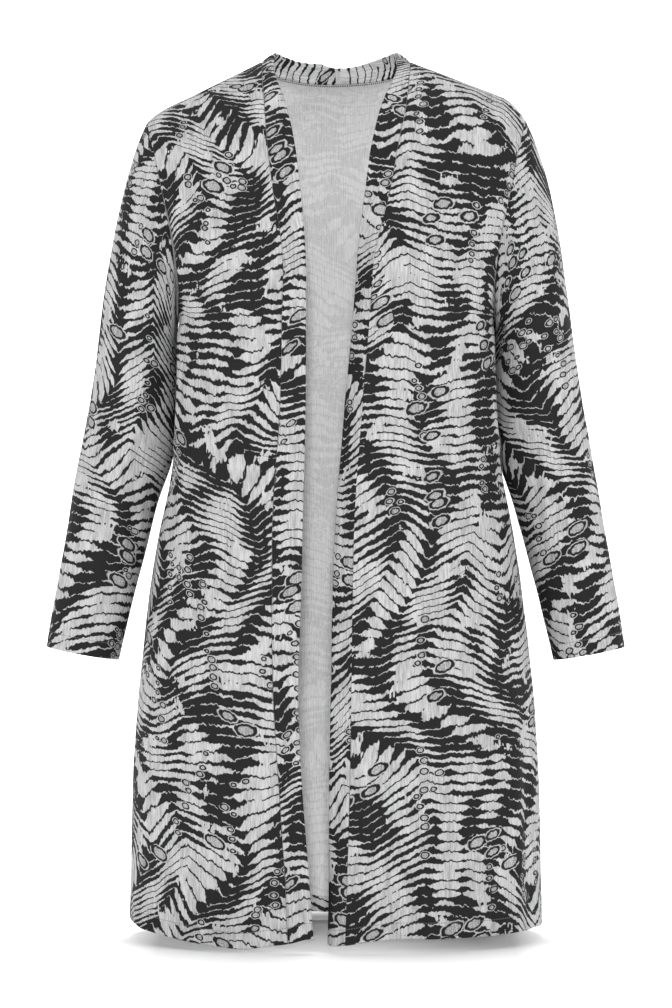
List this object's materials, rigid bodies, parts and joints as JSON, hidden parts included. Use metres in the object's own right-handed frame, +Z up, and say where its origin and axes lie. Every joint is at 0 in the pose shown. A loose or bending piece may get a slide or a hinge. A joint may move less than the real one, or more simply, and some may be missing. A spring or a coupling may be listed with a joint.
{
  "type": "v-neck cardigan",
  "caption": "Long open v-neck cardigan in a crinkled grey animal-stripe knit, worn and hollow, with a narrow front band.",
  "frame": {"origin": "midway between the two high shoulder points, where the wearer's shoulders hold the garment up", "axes": "+Z up, the wearer faces -Y, the wearer's left is +X"},
  "size_m": [0.645, 0.266, 0.984],
  "materials": {
    "print_knit": "matt",
    "band_knit": "matt"
  },
  "bodies": {
    "root": {"right_front": "print_knit", "left_front": "print_knit", "back": "print_knit", "right_sleeve": "print_knit", "left_sleeve": "print_knit", "right_band": "band_knit", "left_band": "band_knit"}
  },
  "joints": []
}
